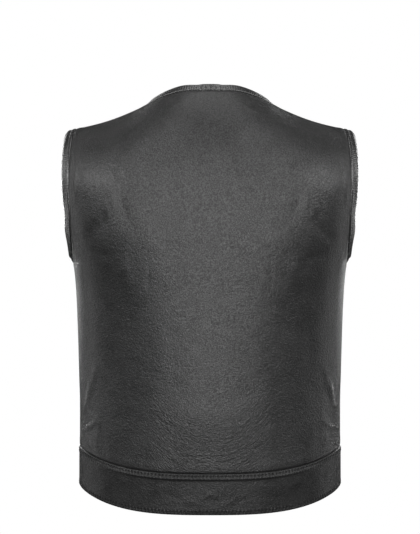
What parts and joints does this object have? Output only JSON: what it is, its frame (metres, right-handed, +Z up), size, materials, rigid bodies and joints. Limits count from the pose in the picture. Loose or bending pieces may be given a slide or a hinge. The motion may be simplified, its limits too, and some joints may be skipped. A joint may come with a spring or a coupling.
{
  "type": "leather vest",
  "caption": "Collarless sleeveless leather vest with bound neck and armholes, a hem band and a snap front, hollow as when worn.",
  "frame": {"origin": "midway between the wearer's shoulders, at the height where the shoulders carry the vest", "axes": "+Z up along the back, -Y out of the front, +X to the wearer's left"},
  "size_m": [0.4428, 0.292, 0.637],
  "materials": {
    "panel_leather": "smooth black cowhide, semi-matte",
    "binding_leather": "smooth black leather strip, slightly glossier",
    "snap_metal": "black-lacquered metal cap, satin"
  },
  "bodies": {
    "root": {"back_panel": "panel_leather", "front_left": "panel_leather", "front_right": "panel_leather", "neck_binding": "binding_leather", "armhole_binding_left": "binding_leather", "armhole_binding_right": "binding_leather", "hem_band_back": "panel_leather", "hem_band_front_left": "panel_leather", "hem_band_front_right": "panel_leather", "snap_1": "snap_metal", "snap_2": "snap_metal", "snap_3": "snap_metal", "snap_4": "snap_metal", "snap_5": "snap_metal"}
  },
  "joints": []
}
